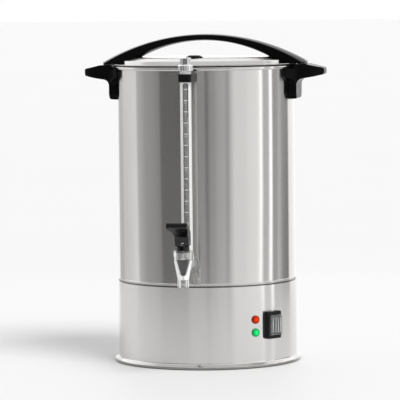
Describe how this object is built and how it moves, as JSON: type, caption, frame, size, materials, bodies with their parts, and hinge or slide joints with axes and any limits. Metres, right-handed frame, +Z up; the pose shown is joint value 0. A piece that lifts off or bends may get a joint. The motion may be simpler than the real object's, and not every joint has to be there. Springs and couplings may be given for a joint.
{
  "type": "coffee urn",
  "caption": "Cylindrical steel coffee urn with a lift-off lid under an arched handle, side handles, a sight gauge, a lever tap and a heated base.",
  "frame": {"origin": "middle of the foot ring's lower face, on the tank's axis", "axes": "+Z up along the tank's axis, the tap faces -Y, the side handles lie along X and the power inlet faces +Y"},
  "size_m": [0.3418, 0.3723, 0.4611],
  "materials": {
    "brushed_steel": "satin, brushed along its length",
    "polished_steel": "polished",
    "bright_fittings": "bright plated",
    "black_plastic": "glossy moulded",
    "clear_plastic": "clear moulded",
    "clear_vinyl": "clear, soft",
    "gauge_glass": "clear",
    "scale_film": "clear film with printed marks",
    "red_lens": "translucent",
    "green_lens": "translucent",
    "silicone": "soft, dark",
    "foot_rubber": "matte",
    "nickel_plate": "nickel plated",
    "heater_sheath": "heat-stained",
    "grey_plastic": "matte",
    "wire_jacket": "soft"
  },
  "bodies": {
    "urn": {"base_cover": "brushed_steel", "base_skirt": "brushed_steel", "clamp_nuts": "polished_steel", "clip_screw": "polished_steel", "clip_washer": "silicone", "cover_brackets": "brushed_steel", "cover_screws": "polished_steel", "foot_ring": "foot_rubber", "gauge_cap": "bright_fittings", "gauge_clip": "black_plastic", "gauge_scale": "scale_film", "gauge_seal": "silicone", "gauge_shield": "clear_plastic", "gauge_tube": "gauge_glass", "handle_screws": "polished_steel", "handle_washers": "silicone", "heater_clamps": "polished_steel", "heater_ring": "heater_sheath", "inlet_nuts": "polished_steel", "inlet_pins": "nickel_plate", "inlet_screws": "polished_steel", "pilot_bodies": "grey_plastic", "pilot_lens_green": "green_lens", "pilot_lens_red": "red_lens", "pilot_nuts": "grey_plastic", "power_inlet": "black_plastic", "shank_nut": "grey_plastic", "shank_washers": "silicone", "side_handle_left": "black_plastic", "side_handle_right": "black_plastic", "splash_cap": "clear_vinyl", "switch_body": "grey_plastic", "switch_frame": "black_plastic", "switch_terminals": "nickel_plate", "tank_floor": "brushed_steel", "tank_shell": "brushed_steel", "tap_body": "clear_plastic", "tap_bonnet": "black_plastic", "tap_shank": "clear_plastic", "tap_spring": "polished_steel", "terminal_block": "grey_plastic", "thermal_cutout": "polished_steel", "thermostat": "polished_steel", "wiring": "wire_jacket"},
    "lid_ring": {"lid_seal": "silicone"},
    "lid": {"lid_pan": "brushed_steel", "arch_handle": "black_plastic", "arch_screws": "polished_steel", "steam_vent": "black_plastic", "vent_nut": "grey_plastic"},
    "percolator": {"percolator_stem": "polished_steel"},
    "basket": {"coffee_basket": "polished_steel"},
    "spreader": {"basket_cover": "polished_steel"},
    "stem": {"tap_stem": "polished_steel", "seat_cup": "silicone"},
    "lever": {"tap_lever": "black_plastic", "lever_pin": "polished_steel"},
    "rocker": {"switch_rocker": "black_plastic"}
  },
  "joints": [
    {"name": "lid_lift", "type": "slide", "parent": "urn", "child": "lid_ring", "axis": [0, 0, 1], "range_m": [0, 0.52]},
    {"name": "lid_turn", "type": "hinge", "parent": "lid_ring", "child": "lid", "pos_m": [0, 0, 0.4186], "axis": [0, 0, 1], "range_deg": [0, 30]},
    {"name": "percolator_lift", "type": "slide", "parent": "urn", "child": "percolator", "axis": [0, 0, 1], "range_m": [0, 0.312]},
    {"name": "basket_lift", "type": "slide", "parent": "percolator", "child": "basket", "axis": [0, 0, 1], "range_m": [0, 0.078]},
    {"name": "spreader_lift", "type": "slide", "parent": "basket", "child": "spreader", "axis": [0, 0, 1], "range_m": [0, 0.0624]},
    {"name": "tap_lever_tilt", "type": "hinge", "parent": "stem", "child": "lever", "pos_m": [0, -0.193, 0.1816], "axis": [1, 0, 0], "range_deg": [0, 30], "stiffness_Nm_per_rad": 0.06, "springref_deg": -14.32},
    {"name": "tap_stem_lift", "type": "slide", "parent": "urn", "child": "stem", "axis": [0, 0, 1], "range_m": [0, 0.00378], "deforming": ["tap_spring"]},
    {"name": "rocker_press", "type": "hinge", "parent": "urn", "child": "rocker", "pos_m": [0.10461, -0.07462, 0.058], "axis": [-0.5807, -0.8141, 0], "range_deg": [0, 18]}
  ],
  "couplings": [
    {"joint": "percolator_lift", "follows": "lid_lift", "ratio": 0.6},
    {"joint": "basket_lift", "follows": "lid_lift", "ratio": 0.15},
    {"joint": "spreader_lift", "follows": "lid_lift", "ratio": 0.12},
    {"joint": "tap_stem_lift", "follows": "tap_lever_tilt", "m_per_rad": 0.0072}
  ]
}
